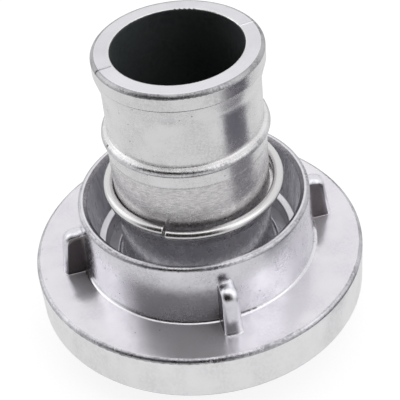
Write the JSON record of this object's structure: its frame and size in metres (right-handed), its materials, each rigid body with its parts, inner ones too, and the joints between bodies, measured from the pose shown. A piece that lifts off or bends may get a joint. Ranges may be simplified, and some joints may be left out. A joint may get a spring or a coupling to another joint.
{
  "type": "quarter turn fire hose coupling",
  "caption": "Hose coupling half with a claw lug ring that swivels and slides on a hose tail shank, held by a spring wire ring.",
  "frame": {"origin": "on the waterway's axis, in the plane of the claw tips and the seal's face, on which the part stands", "axes": "+Z along the waterway from the mating side to the hose end, +X through the middle of one claw"},
  "size_m": [0.098, 0.098, 0.0944],
  "materials": {
    "lug_ring_alloy": "tumbled forging",
    "shank_alloy": "turned and tumbled",
    "spring_wire": "bright drawn",
    "seal_rubber": "matt moulded"
  },
  "bodies": {
    "shank": {"hose_shank": "shank_alloy", "seal_ring": "seal_rubber"},
    "snap_ring": {"snap_ring": "spring_wire"},
    "lug_ring": {"lug_ring": "lug_ring_alloy"}
  },
  "joints": [
    {"name": "swivel", "type": "hinge", "parent": "shank", "child": "snap_ring", "pos_m": [0, 0, 0], "axis": [0, 0, 1], "continuous": true},
    {"name": "ring_slide", "type": "slide", "parent": "snap_ring", "child": "lug_ring", "axis": [0, 0, 1], "range_m": [-0.01095, 0.024]}
  ]
}
